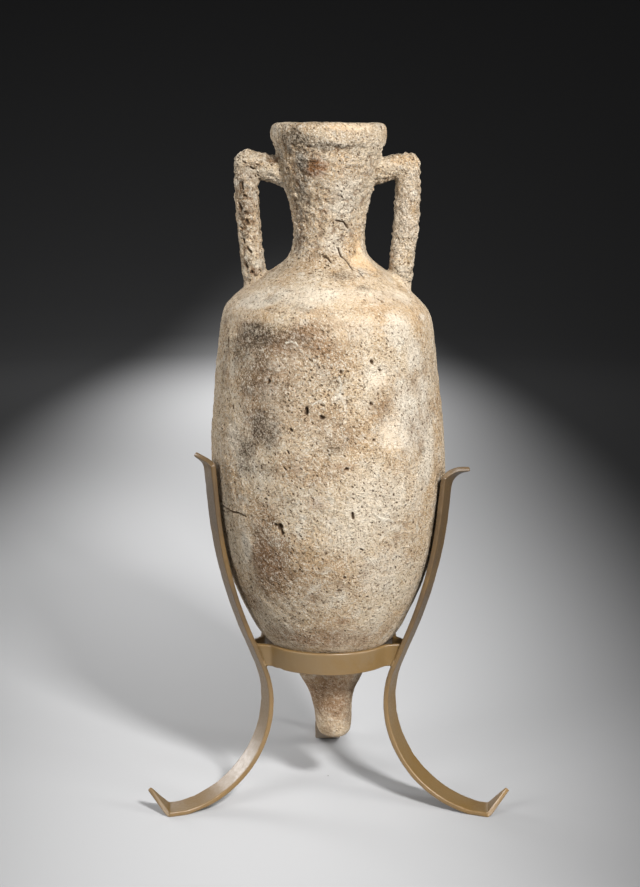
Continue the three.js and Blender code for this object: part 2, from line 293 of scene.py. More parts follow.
# Vessel mesh: turned body, handles and hollow, fused and then worn
outline = spline(OUTLINE, OUTLINE_STEP)


def outer_radius(z):
    """Radius of the outline at a height above the tip."""
    return np.interp(z, outline[:, 1], outline[:, 0])


def turned_body():
    """Rings of the closed skin: up the outside, over the lip and down to the floor of the hollow."""
    wall_line = []
    for i in range(1, len(outline) - 1):
        run, rise = outline[i + 1] - outline[i - 1]
        length = math.hypot(run, rise)
        r = outline[i, 0] - WALL * rise / length
        z = outline[i, 1] + WALL * run / length
        if FLOOR_Z + WALL / 2 < z < HEIGHT - FUNNEL_DEPTH:
            wall_line.append((r, z))
    mouth = [(MOUTH_R, HEIGHT - MOUTH_DEPTH), (MOUTH_R, HEIGHT - LIP_DROP), (MOUTH_R + LIP_SPREAD, HEIGHT)]
    inside = [(FLOOR_R, FLOOR_Z), *wall_line, *mouth]
    profile = np.array([*[(max(r, 1), z) for r, z in outline], *reversed(inside)])
    turns = np.arange(LATHE_COLUMNS) * 2 * math.pi / LATHE_COLUMNS
    r, z = profile[:, :1], profile[:, 1:]
    below = np.maximum(0, 1 - z / SPIKE_DRIFT_TOP)
    x = r * np.cos(turns) + SPIKE_DRIFT * below + body_lean(z)
    y = r * np.sin(turns)
    rings = np.stack([x, y, np.broadcast_to(z, x.shape)], axis=-1)
    return rings.reshape(-1, 3), grid_faces(len(profile), LATHE_COLUMNS)


def body_lean(z):
    """Shift of the body at a height: the shoulder was thrown a little off the axis, to the left."""
    lean = sum(LEAN * smooth_step(z, low, high) for low, high in LEAN_STAGES)
    return -lean * (1 - smooth_step(z, SHOULDER_Z, NECK_Z))


def handle_limb(side, points, thick, flare):
    """Oval limb along a line of reach and height, thicker at its root and rounded at its far end."""
    line = spline(points, 1)
    dome = thick / 2
    length = len(line) - 1
    stops = np.linspace(0, 1, HANDLE_ROWS)
    rings = []
    for stop in stops:
        s = stop * length
        behind, centre, ahead = (points_at(line, range(len(line)), s + shift) for shift in (-3, 0, 3))
        along = (ahead - behind) / norm(ahead - behind)
        past = max(0, s - (length - dome)) / dome
        size = math.sqrt(max(LIMB_TIP ** 2, 1 - past * past)) * (1 + flare * (1 - smooth_step(s, *FLARE_RUN)))
        for k in range(HANDLE_SIDES):
            turn = 2 * math.pi * k / HANDLE_SIDES
            across = size * math.cos(turn) * thick / 2
            depth = size * math.sin(turn) * HANDLE_DEPTH / 2
            r, z = centre + across * np.array([along[1], -along[0]])
            rings.append((side * r, depth * side, z))
    return np.array(rings), grid_faces(HANDLE_ROWS, HANDLE_SIDES)


def fused_vessel():
    """One skin round the body and the handles, as a voxel mesh in millimetres about the vessel's axis."""
    parts = [turned_body()]
    for handle in HANDLES:
        parts.append(handle_limb(handle["side"], handle["arm"], handle["arm_thick"], ARM_FLARE))
        parts.append(handle_limb(handle["side"], handle["upright"], HANDLE_THICK, 0))
    vertices = []
    faces = []
    for points, part_faces in parts:
        start = len(vertices)
        vertices.extend(points)
        faces.extend(tuple(start + i for i in face) for face in part_faces)
    rough_cast = mesh_object("rough_cast", vertices, faces)
    fuse = rough_cast.modifiers.new("fuse", "REMESH")
    fuse.mode = "VOXEL"
    fuse.voxel_size = VOXEL * MM
    evaluated = rough_cast.evaluated_get(bpy.context.evaluated_depsgraph_get())
    mesh = bpy.data.meshes.new_from_object(evaluated)
    bpy.data.objects.remove(rough_cast)
    return mesh


def mesh_arrays(mesh):
    """Points of a mesh in millimetres, and its edges."""
    points = np.empty(len(mesh.vertices) * 3)
    mesh.vertices.foreach_get("co", points)
    edges = np.empty(len(mesh.edges) * 2, np.int64)
    mesh.edges.foreach_get("vertices", edges)
    return points.reshape(-1, 3) / MM, edges.reshape(-1, 2)


def relaxed(points, edges, rounds):
    """Points moved half of the way to the middle of their neighbours, in each round."""
    count = np.bincount(edges.ravel(), minlength=len(points))[:, None]
    for _ in range(rounds):
        total = np.zeros_like(points)
        for k in range(3):
            total[:, k] = (np.bincount(edges[:, 0], points[edges[:, 1], k], len(points))
                           + np.bincount(edges[:, 1], points[edges[:, 0], k], len(points)))
        points = (points + total / count) / 2
    return points


def set_points(mesh, points):
    """Moves the points of a mesh to places in millimetres."""
    mesh.vertices.foreach_set("co", (points * MM).ravel())
    mesh.update()


def normals_of(mesh):
    """Direction out of the surface at each point of a mesh."""
    normals = np.empty(len(mesh.vertices) * 3)
    mesh.vertices.foreach_get("normal", normals)
    return normals.reshape(-1, 3)


def segment_distance(points, a, b):
    """Distance of each point from the straight between a and b."""
    span = b - a
    share = np.clip((points - a) @ span / max(span @ span, 1e-9), 0, 1)
    return norm(points - a - share[:, None] * span, axis=1)


# Marks that the photograph shows, placed by its pixels
NECK_CRACKS = [
    [(338, 248), (341, 256), (345, 259), (349, 264), (353, 270), (359, 272), (364, 277)],
    [(351, 266), (360, 271), (369, 274), (377, 277)],
    [(323, 256), (328, 258), (331, 262)],
    [(337, 221), (344, 222), (348, 228)],
]
BODY_CRACK = [(222, 505), (226, 508), (233, 512), (239, 513), (246, 516.5)]
# Pits: pixel across and down, length, width and depth in millimetres, and lean in degrees
PITS = [
    (306.5, 411, 11, 5, 8, 0), (322, 417.6, 8, 5, 6, 60), (269, 381, 6, 5, 6, 0), (372, 362, 7, 5, 5, 30),
    (371.5, 403.6, 5, 4, 5, 30), (233, 407, 6, 4, 6, 0), (291, 430, 6, 4, 5, 40), (374, 440, 4, 4, 4, 0),
    (347, 469, 6, 4, 5, 70), (353, 516, 11, 4, 5, 10), (280, 527, 10, 8, 8, -20), (282, 532, 9, 4, 7, 15),
    (276, 525, 6, 4, 6, 60), (394, 495, 4, 3, 4, 0), (345, 578, 5, 4, 5, 50), (367, 597, 5, 3, 5, 70),
    (270, 308, 7, 3, 4, 40), (382, 301, 7, 3, 4, 50), (378, 299, 5, 3, 4, 50), (310, 273, 7, 4, 5, 60),
    (228, 341, 12, 4, 5, 5), (341, 372, 5, 4, 4, 20), (288, 452, 7, 3, 4, 30), (285, 469, 8, 3, 4, 50),
    (240, 207, 14, 6, 5, 30), (246, 213, 9, 4, 4, 60), (247, 222, 10, 5, 5, 25), (241, 228, 8, 4, 4, 50),
    (244, 241, 7, 4, 4, 20), (249, 250, 12, 4, 5, 45), (246, 266, 10, 6, 5, 30), (252, 272, 6, 4, 4, 60),
    (242, 186, 12, 4, 4, 10), (245, 196, 7, 4, 4, 70), (244, 162, 8, 3, 4, 60), (252, 168, 8, 3, 4, 50),
    (380, 370, 6, 3, 4, 60), (383, 293, 4, 3, 3, 20), (362, 550, 7, 3, 4, 60), (391, 293, 5, 3, 3, 60),
]
WORMS = [
    [(286, 343), (291, 341.5), (296, 343), (298, 346)],
    [(339, 377), (341, 383), (340.5, 391), (339, 398)],
    [(377, 516), (383, 520), (388, 519), (393, 522)],
    [(312, 405), (317, 402), (322, 400)],
]

CRACK_WIDTH = 2.0
CRACK_DEPTH = 4.0
BODY_CRACK_WIDTH = 2.1
BODY_CRACK_DEPTH = 5.0
WORM_WIDTH = 2.4
WORM_HEIGHT = 1.3
PATCH_RAGGED = 0.4
PATCH_GRAIN = 16
PATCH_EDGE = (0.35, 1.05)

ORIGIN = np.array([AXIS_X, AXIS_Y, TIP_Z])


def finer_near(mesh, marks, reach):
    """Splits the edges of the mesh whose both ends lie near one of the marks."""
    lookup = lookup_of(marks)
    bm = bmesh.new()
    bm.from_mesh(mesh)
    close = {v for v in bm.verts if lookup.find(np.array(v.co) / MM - ORIGIN)[2] < reach}
    edges = [edge for edge in bm.edges if edge.verts[0] in close and edge.verts[1] in close]
    bmesh.ops.subdivide_edges(bm, edges=edges, cuts=1, use_grid_fill=True)
    bm.to_mesh(mesh)
    bm.free()


def near_mark(points, centre, half_across, half_up, edge_seed):
    """1 at the middle of a patch on the surface and 0 past its ragged edge."""
    offset = points - centre
    flat = norm(offset[:, :2], axis=1) / half_across
    distance = np.hypot(flat, offset[:, 2] / half_up)
    distance += PATCH_RAGGED * rough(points, PATCH_GRAIN, edge_seed)
    return 1 - smooth_step(distance, *PATCH_EDGE)


def place_marks(tree):
    """A function from a pixel of the photograph to the point of the vessel under it, about its own axis."""
    def on_vessel(pixel):
        start, direction = sight_line(pixel)
        hit = tree.ray_cast(start, direction)[0]
        if hit is None:
            depth = (AXIS_Y * MM - start.y) / direction.y
            hit = tree.find_nearest(start + direction * depth)[0]
        return np.array(hit) / MM - ORIGIN
    return on_vessel


def groove(points, line, width):
    """1 along a line of points on the surface and 0 beyond the width."""
    distance = np.min([segment_distance(points, a, b) for a, b in zip(line, line[1:])], axis=0)
    return 1 - smooth_step(distance, 0, width)


# Sea crust: its strength in each region, and the heights or reaches between which it changes
HANDLE_CRUST = 0.8
LEFT_CRUST = 0.56
RIGHT_CRUST = 0.34
LIP_LOSS = 0.65
SHOULDER_LOSS = 0.45
SPIKE_LOSS = 0.55
NECK_RUN = (700, 745)
LIP_RUN = (868, 886)
LEFT_RUN = (-60, 120)
SHOULDER_RUN = (10, 60)
SPIKE_RUN = (120, 260)


def crust_strength(points, on_vessel):
    """How coarse the sea crust is: 1 on the neck, less on the handles and the body, little where mended."""
    x, y, z = points.T
    r = np.hypot(x, y)
    on_handle = smooth_step(r - outer_radius(z), 8, 18)
    on_neck = smooth_step(z, *NECK_RUN)
    on_lip = smooth_step(z, *LIP_RUN)
    crust = np.maximum(HANDLE_CRUST * on_handle, on_neck) * (1 - LIP_LOSS * on_lip)
    body = RIGHT_CRUST + (LEFT_CRUST - RIGHT_CRUST) * smooth_step(-x, *LEFT_RUN)
    body *= 1 - SHOULDER_LOSS * (1 - smooth_step(np.abs(z - SHOULDER_Z), *SHOULDER_RUN))
    body *= 1 - SPIKE_LOSS * (1 - smooth_step(z, *SPIKE_RUN))
    crust = np.maximum(crust, body)
    for px, py, across, up, strength in SMOOTH_PATCHES:
        patch = near_mark(points, on_vessel((px, py)), across, up, 71)
        crust = crust * (1 - strength * patch)
    return crust


# Patches: pixel across and down, half width and half height in millimetres, and strength
SMOOTH_PATCHES = [
    (362, 262, 30, 26, 0.9), (358, 245, 18, 22, 0.85), (394, 162, 36, 15, 0.75), (280, 164, 26, 14, 0.5),
    (350, 128, 45, 8, 0.6), (378, 380, 24, 20, 0.6), (402, 298, 18, 14, 0.7), (395, 435, 34, 28, 0.45),
    (338, 330, 20, 14, 0.3), (240, 545, 16, 30, 0.5),
]
# Stains, and one painted shadow: the patch at (434, 520) is the shade of the right leg where it meets the
# body
STAIN_AND_SHADOW_PATCHES = [
    (256, 335, 46, 24, 1.0), (240, 348, 28, 34, 0.7), (292, 338, 40, 18, 0.5), (265, 428, 34, 36, 0.9),
    (248, 450, 24, 24, 0.8), (247, 468, 22, 14, 0.6), (255, 372, 44, 44, 0.5), (276, 395, 34, 30, 0.35),
    (334, 450, 20, 14, 0.4), (336, 382, 20, 12, 0.45), (296, 139, 36, 10, 1.0), (325, 145, 30, 7, 0.9),
    (345, 147, 20, 5, 0.6), (304, 164, 19, 20, 1.0), (300, 152, 20, 9, 0.7), (303, 190, 11, 30, 0.65),
    (301, 214, 9, 22, 0.5), (299, 240, 12, 16, 0.45), (241, 190, 8, 28, 0.7), (242, 212, 9, 16, 0.9),
    (244, 232, 8, 16, 0.7), (247, 262, 10, 16, 0.8), (252, 166, 14, 7, 0.5), (272, 160, 26, 6, 0.5),
    (342, 276, 20, 10, 0.6), (363, 288, 15, 7, 0.55), (274, 299, 16, 6, 0.45), (301, 308, 20, 5, 0.4),
    (423, 449, 9, 9, 0.55), (316, 255, 30, 6, 0.35), (225, 360, 10, 60, 0.35), (352, 146, 30, 5, 0.35),
    (372, 288, 6, 4, 0.3), (268, 470, 26, 12, 0.4), (240, 500, 16, 10, 0.35), (270, 310, 16, 4, 0.4),
    (434, 520, 8, 26, 0.5), (290, 500, 30, 14, 0.2), (283, 134, 12, 16, 0.7), (295, 134, 20, 12, 0.9),
    (290, 148, 12, 12, 0.8), (302, 178, 12, 26, 0.6), (296, 205, 6, 30, 0.5), (297, 250, 8, 10, 0.5),
    (225, 322, 12, 8, 0.4), (398, 170, 18, 4, 0.35), (378, 183, 8, 5, 0.5),
]
# Brown patches, and one painted shade band: the patch at (340, 312) darkens the body just under the shoulder
# ledge
BROWNS = [
    (272, 565, 48, 66, 1.0), (262, 520, 36, 36, 0.75), (330, 325, 54, 14, 0.5), (300, 355, 76, 50, 0.5),
    (330, 425, 46, 50, 0.35), (300, 470, 64, 28, 0.5), (385, 405, 20, 9, 0.4), (320, 640, 130, 26, 0.6),
    (340, 130, 28, 7, 0.35), (272, 158, 30, 10, 0.5), (247, 190, 14, 60, 0.45), (308, 590, 44, 44, 0.25),
    (300, 225, 10, 60, 0.6), (350, 170, 18, 12, 0.2), (330, 700, 80, 60, 0.85), (255, 400, 40, 60, 0.5),
    (300, 405, 30, 40, 0.35), (345, 440, 30, 20, 0.3), (250, 600, 30, 30, 0.6), (310, 165, 24, 24, 0.6),
    (362, 136, 40, 16, 0.25), (406, 215, 14, 60, 0.3), (392, 300, 40, 12, 0.2), (290, 215, 10, 40, 0.5),
    (340, 312, 90, 6, 0.25), (250, 324, 40, 7, 0.6), (395, 162, 40, 12, 0.15), (262, 345, 52, 26, 0.55),
    (262, 385, 50, 44, 0.4), (303, 333, 50, 10, 0.5), (250, 430, 40, 50, 0.35), (268, 575, 44, 50, 0.4),
]
RUSTS = [
    (318, 168, 21, 17, 1.0), (312, 172, 12, 10, 0.9), (254, 271, 9, 8, 0.7), (392, 262, 6, 20, 0.5),
    (325, 211, 8, 7, 0.5), (316, 504, 20, 14, 0.4), (343, 622, 12, 8, 0.45), (296, 470, 10, 8, 0.4),
    (368, 172, 14, 10, 0.35), (276, 160, 8, 8, 0.4), (297, 180, 8, 20, 0.5), (240, 262, 8, 12, 0.4),
    (305, 330, 24, 12, 0.35), (322, 345, 20, 16, 0.3), (345, 468, 16, 8, 0.35), (300, 640, 30, 8, 0.3),
    (264, 560, 34, 46, 0.3), (330, 690, 70, 50, 0.3), (292, 345, 56, 22, 0.22), (272, 378, 50, 34, 0.18),
    (285, 425, 60, 40, 0.12), (335, 640, 90, 30, 0.15),
]
# Pale crust patches; the strong ones along the right side of the body, near (410, 430), are also painted
# light on the side facing the lamps
PALES = [
    (378, 378, 30, 24, 0.65), (392, 430, 44, 34, 0.6), (412, 420, 34, 60, 1.0), (402, 298, 20, 16, 0.5),
    (410, 432, 28, 30, 1.0), (422, 390, 24, 40, 0.8), (404, 395, 24, 30, 0.7), (425, 470, 20, 30, 0.7),
    (398, 330, 34, 34, 0.75), (414, 355, 26, 34, 0.8), (372, 296, 60, 12, 0.4), (310, 296, 96, 16, 0.55),
    (255, 300, 50, 14, 0.85), (232, 370, 14, 22, 0.6), (234, 440, 18, 36, 0.65), (428, 430, 24, 80, 0.8),
    (298, 385, 5, 5, 0.9), (305, 323, 6, 5, 0.9), (345, 200, 34, 50, 0.7), (405, 205, 12, 50, 0.25),
    (274, 130, 14, 14, 0.6), (335, 243, 24, 20, 0.6), (246, 545, 14, 34, 0.7), (380, 500, 70, 60, 0.5),
    (384, 570, 50, 50, 0.55), (345, 540, 44, 34, 0.4), (324, 372, 12, 10, 0.5), (400, 165, 30, 12, 0.15),
    (240, 466, 16, 26, 0.5), (365, 405, 18, 18, 0.3), (330, 150, 60, 30, 0.15), (250, 205, 8, 30, 0.4),
    (362, 330, 30, 20, 0.4), (418, 500, 20, 50, 0.5), (250, 304, 34, 10, 0.6),
]
BARES = [
    (352, 250, 20, 26, 0.85), (364, 264, 24, 18, 0.9), (376, 272, 16, 8, 0.6), (392, 258, 5, 26, 0.85),
    (377, 189, 16, 9, 0.8), (290, 212, 7, 34, 0.6), (284, 176, 16, 8, 0.5), (262, 160, 18, 8, 0.5),
    (400, 159, 22, 9, 0.55), (332, 126, 40, 6, 0.5), (318, 538, 34, 16, 0.4), (418, 165, 6, 16, 0.5),
    (290, 395, 60, 70, 0.3), (285, 332, 70, 10, 0.45), (250, 515, 30, 20, 0.4), (300, 470, 60, 30, 0.3),
    (256, 164, 26, 8, 0.6), (405, 158, 28, 10, 0.85), (296, 215, 12, 40, 0.5), (345, 165, 40, 20, 0.25),
    (358, 236, 10, 26, 0.8), (350, 300, 30, 8, 0.3), (258, 250, 6, 30, 0.35), (415, 240, 6, 30, 0.3),
    (255, 510, 20, 12, 0.3), (370, 200, 5, 16, 0.5),
]


def crust_relief(points, crust):
    """Height of the crust and depth of its scattered pits: sums of heights times noise of a size and seed."""
    x, y, z = points.T
    slant = np.stack([(x - z) / 2.6, x + z, y * 1.4], axis=1) / math.sqrt(2)
    warp = np.stack([noise(points, 5, 61), noise(points, 5, 62), noise(points, 5, 63)], axis=1)
    coarse = smooth_step(crust, 0.35, 0.95)
    relief = 1.6 * rough(points, 110, 11) + 1.0 * rough(points, 36, 17)
    relief += coarse * (2.3 * (billows(points + warp, 9, 23) - 0.45) + 1.7 * rough(points, 6, 26, 2))
    relief += (1 - coarse) * crust * (2.4 * rough(slant, 9, 29, 3) + 1.4 * (billows(slant, 7, 31) - 0.5))
    relief += 0.6 * crust * noise(points, 3.6, 33)

    torn = slant * 1.25 + 2.2 * warp
    pits = 0.8 * coarse * hollows(torn, 7.0, 1.0, 3.4, 0.7, 37)
    pitted = smooth_step(rough(points, 60, 43), -0.35, 0.35)
    pits += (0.2 + 0.8 * crust) * (0.35 + 0.65 * pitted) * hollows(torn, 10.5, 0.8, 2.9, 0.55, 41)
    return relief, pits


def placed_cracks(points, on_vessel):
    """Depth of the cracks and of the pits that the photograph shows one by one."""
    cracks = np.zeros(len(points))
    lines = [(line, CRACK_WIDTH, CRACK_DEPTH) for line in NECK_CRACKS]
    for line, width, depth in [*lines, (BODY_CRACK, BODY_CRACK_WIDTH, BODY_CRACK_DEPTH)]:
        cracks = np.maximum(cracks, depth * groove(points, [on_vessel(pixel) for pixel in line], width))
    for px, py, length, width, depth, lean in PITS:
        centre = on_vessel((px, py))
        turn = math.radians(lean)
        along = np.array([math.sin(turn), 0, -math.cos(turn)]) * (length - width) / 2
        cracks = np.maximum(cracks, depth * groove(points, [centre - along, centre + along], width * 0.75))
    return cracks


def placed_worms(points, on_vessel):
    """1 along the chalky tubes of sea worms and 0 beside them."""
    worms = np.zeros(len(points))
    for line in WORMS:
        worms = np.maximum(worms, groove(points, [on_vessel(pixel) for pixel in line], WORM_WIDTH))
    return worms


def thinned(name, mesh):
    """Object from the mesh, brought down to the face limit."""
    thick = bpy.data.objects.new(name, mesh)
    bpy.context.scene.collection.objects.link(thick)
    thin = thick.modifiers.new("thin", "DECIMATE")
    mesh.calc_loop_triangles()
    thin.ratio = min(1, FACE_LIMIT / len(mesh.loop_triangles))
    evaluated = thick.evaluated_get(bpy.context.evaluated_depsgraph_get())
    thick.data = bpy.data.meshes.new_from_object(evaluated)
    thick.modifiers.clear()
    bpy.data.meshes.remove(mesh)
    thick.data.name = name
    thick.data.polygons.foreach_set("use_smooth", [True] * len(thick.data.polygons))
    return thick


def worn_vessel():
    """The fused skin with its crust, pits and cracks, thinned to the face limit, and its colour masks."""
    mesh = fused_vessel()
    points, edges = mesh_arrays(mesh)
    points = relaxed(points, edges, RELAX_ROUNDS)
    set_points(mesh, points + ORIGIN)
    tree = BVHTree.FromPolygons([v.co for v in mesh.vertices], [p.vertices for p in mesh.polygons])
    on_vessel = place_marks(tree)
    marks = [on_vessel(pit[:2]) for pit in PITS]
    for line in [*NECK_CRACKS, BODY_CRACK]:
        ends = [on_vessel(pixel) for pixel in line]
        marks += [a + (b - a) * share for a, b in zip(ends, ends[1:]) for share in (0, 0.25, 0.5, 0.75)]
    for reach in FINE_REACHES:
        finer_near(mesh, marks, reach)
    points, _ = mesh_arrays(mesh)
    points = points - ORIGIN
    normals = normals_of(mesh)

    x, y, z = points.T
    r = np.hypot(x - body_lean(z) - SPIKE_DRIFT * np.maximum(0, 1 - z / SPIKE_DRIFT_TOP), y)
    inside = smooth_step(outer_radius(z) - r, WALL * 0.45, WALL * 0.8) * (z < HEIGHT - 6)
    inside = inside * smooth_step(z, FLOOR_Z - 30, FLOOR_Z - 20)
    outside = 1 - inside
    crust = crust_strength(points, on_vessel)
    relief, pits = crust_relief(points, crust)
    carved = pits + placed_cracks(points, on_vessel)
    worms = placed_worms(points, on_vessel)
    relief = relief - carved + WORM_HEIGHT * worms
    relief = outside * relief + inside * 0.5 * rough(points, 45, 53)
    points = points + normals * relief[:, None]
    set_points(mesh, points + ORIGIN)

    vessel = thinned("amphora_clay", mesh)
    kept, _ = mesh_arrays(vessel.data)
    kept = kept - ORIGIN
    lookup = lookup_of(points)
    nearest = np.array([lookup.find(point)[1] for point in kept])
    masks = {
        "hollow": np.clip((carved * outside)[nearest] / 3.2, 0, 1),
        "crust": (crust * outside)[nearest],
        "height": np.clip(0.5 + relief[nearest] / 7, 0, 1),
        "worm": worms[nearest],
        "within": inside[nearest],
    }
    patches_of = {"stain_and_shadow": STAIN_AND_SHADOW_PATCHES, "brown": BROWNS, "rust": RUSTS, "pale": PALES, "bare": BARES}
    for mask, patches in patches_of.items():
        total = np.zeros(len(kept))
        for index, (px, py, across, up, strength) in enumerate(patches):
            patch = near_mark(kept, on_vessel((px, py)), across, up, 80 + index)
            total = 1 - (1 - total) * (1 - strength * patch)
        masks[mask] = total
    for mask, values in masks.items():
        add_mask(vessel.data, mask, values)
    return vessel


def add_mask(mesh, name, values):
    """A number for each point of the mesh, which the materials read by its name."""
    layer = mesh.attributes.new(name, "FLOAT", "POINT")
    layer.data.foreach_set("value", np.asarray(values, np.float32))


# Stand: flat bar sizes and the bends of a leg from the toe up
LEG_WIDTH = 40
LEG_THICK = 7
RING_HEIGHT = 32
RING_THICK = 7
RING_INNER_R = 93.5
FOOT_FLAT = 24
TOE_RISE = 11
TOE_R = 30
TOE_RUN = 4
SWEEP_R = 154
WAIST_R = 140
LEG_SPLAY = 22
SPLAY_RUN = 55
CRADLE_R = 660
TOP_SPLAY = 5
TOE_LIP = {"inset": 3, "slant": 11, "mitre": 33, "bend": 10, "angle": 48}
LEGS = {
    "leg_front_left": {"turn": -69.5, "far": -1, "top_run": 67,
                       "curl": {"inset": 6, "slant": 6, "mitre": 17, "bend": 20, "angle": 45}},
    "leg_front_right": {"turn": 69.5, "far": 1, "top_run": 49,
                        "curl": {"inset": 9, "slant": 14, "mitre": 25, "bend": 28, "angle": 75}},
    "leg_back": {"turn": 180, "far": 1, "top_run": 62,
                 "curl": {"inset": 8, "slant": 10, "mitre": 18, "bend": 24, "angle": 60}},
}
TAB_SIDE_GAP = 2
TAB_TURN = 30
BAR_CORNER_R = 1.5
WELD_R = 2.6
BAR_ROW_STEP = 2.6
CORNER_STEPS = 3
WIDE_STEPS = 13
THIN_STEPS = 2
ARC_POINTS = 90
TAB_POINTS = 12
SOFTEN_ROUNDS = 10
LINE_STEP = 0.5
LINE_SPARE = 60


def flat_section(width, thick):
    """Outline of a flat bar with worn corners, as places across its width and through its thickness."""
    half_width = width / 2 - BAR_CORNER_R
    half_thick = thick / 2 - BAR_CORNER_R
    centres = [(half_width, half_thick), (-half_width, half_thick),
               (-half_width, -half_thick), (half_width, -half_thick)]
    corners = []
    for index, (e, n) in enumerate(centres):
        turns = [math.radians(90 * (index + step / CORNER_STEPS)) for step in range(CORNER_STEPS + 1)]
        corners.append([(e + BAR_CORNER_R * math.cos(t), n + BAR_CORNER_R * math.sin(t)) for t in turns])
    outline_points = []
    for index, corner in enumerate(corners):
        outline_points += corner
        steps = THIN_STEPS if index % 2 else WIDE_STEPS
        after = corners[(index + 1) % 4][0]
        for k in range(1, steps):
            share = k / steps
            outline_points.append(tuple(a + (b - a) * share for a, b in zip(corner[-1], after)))
    return np.array(outline_points)


def leg_line(top_run):
    """Centre line of a leg in its upright plane: distance along, reach from the waist, height, heading."""
    radians = math.radians
    runs = [
        (FOOT_FLAT, 0), (TOE_R * radians(TOE_RISE), -1 / TOE_R), (TOE_RUN, 0),
        (SWEEP_R * radians(90 - TOE_RISE), -1 / SWEEP_R), (WAIST_R * radians(LEG_SPLAY), -1 / WAIST_R),
        (SPLAY_RUN, 0), (CRADLE_R * radians(LEG_SPLAY - TOP_SPLAY), 1 / CRADLE_R), (top_run, 0),
    ]
    ends = np.cumsum([run for run, _ in runs])
    s = np.arange(-LINE_SPARE, ends[-1] + LINE_SPARE, LINE_STEP)
    middle = s + LINE_STEP / 2
    bend = np.select([middle < 0, *[middle < end for end in ends]], [0, *[k for _, k in runs]], 0)
    heading = math.pi + running(bend[:-1]) * LINE_STEP
    mean_heading = heading + bend * LINE_STEP / 2
    reach = running(np.cos(mean_heading[:-1])) * LINE_STEP
    z = running(np.sin(mean_heading[:-1])) * LINE_STEP
    reach -= np.interp(ends[3], s, reach)
    z += LEG_THICK / 2 - np.interp(0, s, z)
    return {"s": s, "reach": reach, "z": z, "heading": heading, "top": ends[-1]}


def bar_point(line, s, e, n):
    """Points of the bent bar: s along it, e across it and n out of its outer face, with both directions."""
    heading = np.interp(s, line["s"], line["heading"])
    zero = np.zeros_like(heading)
    along = np.stack([np.cos(heading), zero, np.sin(heading)], axis=1)
    out = np.stack([np.sin(heading), zero, -np.cos(heading)], axis=1)
    reach = np.interp(s, line["s"], line["reach"])
    z = np.interp(s, line["s"], line["z"])
    at = np.stack([reach, e + zero, z], axis=1)
    return at + out * np.reshape(n, (-1, 1)), along, out


def folded_point(line, s, e, n, end, lip):
    """The same points, where the end of the bar in that direction is folded out about its slanted line."""
    tip = line["top"] if end > 0 else 0
    skew = lip["slant"] / LEG_WIDTH
    stretch = math.hypot(1, skew)
    past = (end * (s - tip) + lip["inset"] + lip["slant"] * (0.5 - e / LEG_WIDTH)) / stretch
    past = np.maximum(past, 0)
    at, along, out = bar_point(line, s - past * end / stretch, e + past * skew / stretch, 0 * n)
    across = along * (end / stretch) + np.array([0, -skew / stretch, 0])
    bend = np.minimum(past / lip["bend"], math.radians(lip["angle"]))
    rest = past - lip["bend"] * bend
    forward = (lip["bend"] - n) * np.sin(bend) + rest * np.cos(bend)
    outward = lip["bend"] - (lip["bend"] - n) * np.cos(bend) + rest * np.sin(bend)
    return at + across * forward[:, None] + out * outward[:, None]


def hammered(s, e, n, width, seed):
    """Dents in the faces of a bar and nicks along its edges, as shifts of e and n, and how worn it is."""
    place = np.stack([s, e, n * 3], axis=1) + seed * 100
    edge = smooth_step(np.abs(e), width / 2 - 4, width / 2)
    far_edge = np.where(e < 0, 1.0, 0.4)
    nick = np.maximum(0, noise(place, 10, seed)) * far_edge
    dent = 0.45 * rough(place, 26, seed + 3)
    inward = -np.sign(e) * edge * (1.9 * nick + 0.4 * noise(place, 30, seed + 5))
    return inward, dent * np.sign(n), edge * (0.4 + 0.6 * nick)


def end_inset(distance):
    """How far the outline of a bar draws in near its sawn end."""
    share = np.clip(1 - distance / BAR_CORNER_R, 0, 1)
    return BAR_CORNER_R * (1 - np.sqrt(1 - 0.98 * share * share))


def drawn_in(values, inset, half):
    """Places of an outline drawn in towards its middle."""
    return values * (1 - inset / half)


def bar_rows(length):
    """Shares along a bar, with close rows at the two ends for the rounding of the edges."""
    close = np.array([0, 0.2, 0.5, 1.0]) * BAR_CORNER_R / length
    inner = np.linspace(close[-1], 1 - close[-1], round(length / BAR_ROW_STEP))
    return np.concatenate([close[:-1], inner, 1 - close[-2::-1]])


def make_leg(name, turn, far, top_run, curl):
    """Points of a leg in its own plane, their rows and section, and how worn they are."""
    line = leg_line(top_run)
    section = flat_section(LEG_WIDTH, LEG_THICK)
    top = line["top"]
    rows = bar_rows(top)
    share = np.repeat(rows, len(section))
    e = np.tile(section[:, 0], len(rows))
    n = np.tile(section[:, 1], len(rows))
    near_share = 0.5 - e / LEG_WIDTH
    start = -TOE_LIP["mitre"] * near_share
    finish = top + curl["mitre"] * near_share
    s = start + (finish - start) * share
    inward, dent, wear = hammered(s, e, n, LEG_WIDTH, len(name) + abs(round(turn)))
    flat_foot = (s < FOOT_FLAT + 12) & (n > 0)
    inset = end_inset(np.minimum(share, 1 - share) * (finish - start))
    e = drawn_in(e + inward, inset, LEG_WIDTH / 2)
    n = drawn_in(n + np.where(flat_foot, 0, dent), inset, LEG_THICK / 2)
    low = folded_point(line, s, e, n, -1, TOE_LIP)
    high = folded_point(line, s, e, n, 1, curl)
    local = np.where((s < top / 2)[:, None], low, high)
    local[:, 1] *= -far
    return local, rows, section, wear


def standing(local, turn, waist):
    """Points of a leg's own plane set round the vessel's axis; a turn of 0 faces the front."""
    angle = math.radians(turn - 90)
    x = local[:, 0] + waist
    y = local[:, 1]
    return np.stack([
        AXIS_X + x * math.cos(angle) - y * math.sin(angle),
        AXIS_Y + x * math.sin(angle) + y * math.cos(angle),
        local[:, 2],
    ], axis=1)


def fix_normals(obj):
    """Turns the faces of an object outwards."""
    bm = bmesh.new()
    bm.from_mesh(obj.data)
    bmesh.ops.recalc_face_normals(bm, faces=bm.faces)
    bm.to_mesh(obj.data)
    bm.free()


